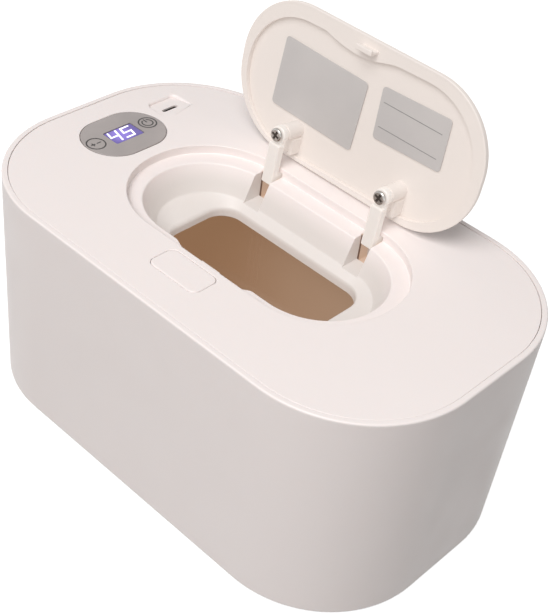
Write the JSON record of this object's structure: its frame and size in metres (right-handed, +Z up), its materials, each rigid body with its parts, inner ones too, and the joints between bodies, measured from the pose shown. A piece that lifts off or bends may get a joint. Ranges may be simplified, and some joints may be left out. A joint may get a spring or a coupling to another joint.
{
  "type": "baby wipe warmer",
  "caption": "Rounded electric box that warms baby wipes, with a lift-off top cover, sprung flip lid over a dispensing opening, push latch, touch panel and display.",
  "frame": {"origin": "on the table, under the middle of the housing", "axes": "+X along the housing's length, away from the control panel; +Y towards the lid's hinge at the back; +Z up"},
  "size_m": [0.21, 0.1272, 0.1595],
  "materials": {
    "shell_plastic": "satin warm white",
    "tank_plastic": "satin",
    "foam": "expanded foam",
    "black_rubber": "matt",
    "silicone": "matt",
    "panel_grey": "smooth",
    "display_black": "matt",
    "display_violet": "lit",
    "board_green": "solder mask",
    "steel": "plated",
    "chrome": "bright",
    "aluminium": "rolled",
    "heater_amber": "film",
    "milky_nylon": "satin",
    "label_silver": "satin foil",
    "wire_red": "smooth",
    "wire_black": "smooth",
    "sensor_epoxy": "matt"
  },
  "bodies": {
    "housing": {"outer_housing": "shell_plastic", "inner_tank": "tank_plastic", "insulation_sleeve": "foam", "base_plate": "shell_plastic", "rubber_foot_1": "black_rubber", "rubber_foot_2": "black_rubber", "rubber_foot_3": "black_rubber", "rubber_foot_4": "black_rubber", "base_screw_1": "steel", "base_screw_2": "steel", "base_screw_3": "steel", "base_screw_4": "steel"},
    "cover": {"top_cover": "shell_plastic", "cover_seal": "silicone", "under_cover": "shell_plastic", "heat_spreader": "aluminium", "heater_film": "heater_amber", "under_cover_screw_1": "steel", "under_cover_screw_2": "steel", "under_cover_screw_3": "steel", "under_cover_screw_4": "steel", "control_panel": "panel_grey", "display_module": "display_black", "display_window": "display_violet", "control_board": "board_green", "power_inlet": "steel", "board_screw_1": "steel", "board_screw_2": "steel", "touch_contact_left": "steel", "touch_contact_right": "steel", "heater_lead_red": "wire_red", "heater_lead_black": "wire_black", "temperature_sensor": "sensor_epoxy", "thermal_fuse": "steel", "hinge_pin_left": "steel", "hinge_pin_right": "steel", "torsion_spring_left": "steel", "torsion_spring_right": "steel", "latch_guide": "milky_nylon", "guide_screw_left": "steel", "guide_screw_right": "steel", "latch_spring": "steel", "button_spring_left": "steel", "button_spring_right": "steel"},
    "lid": {"lid_shell": "shell_plastic", "lid_inner_frame": "shell_plastic", "label_plate_left": "label_silver", "label_plate_right": "label_silver", "hinge_arm_left": "milky_nylon", "hinge_arm_right": "milky_nylon", "arm_screw_left": "chrome", "arm_screw_right": "chrome"},
    "button": {"release_button": "shell_plastic"},
    "latch": {"latch_slider": "milky_nylon"}
  },
  "joints": [
    {"name": "cover_lift", "type": "slide", "parent": "housing", "child": "cover", "axis": [0, 0, 1], "range_m": [0, 0.06]},
    {"name": "lid_hinge", "type": "hinge", "parent": "cover", "child": "lid", "pos_m": [0, 0.0369, 0.0922], "axis": [1, 0, 0], "range_deg": [0, 96.5], "stiffness_Nm_per_rad": 0.02, "springref_deg": -28.65},
    {"name": "button_press", "type": "slide", "parent": "cover", "child": "button", "axis": [0, 0, -1], "range_m": [0, 0.002], "stiffness_N_per_m": 800, "springref_m": -0.0006, "deforming": ["button_spring_left", "button_spring_right"]},
    {"name": "latch_slide", "type": "slide", "parent": "cover", "child": "latch", "axis": [0, -1, 0], "range_m": [0, 0.002], "stiffness_N_per_m": 200, "springref_m": -0.001, "deforming": ["latch_spring"]}
  ],
  "couplings": [
    {"joint": "latch_slide", "follows": "button_press", "ratio": 1}
  ]
}
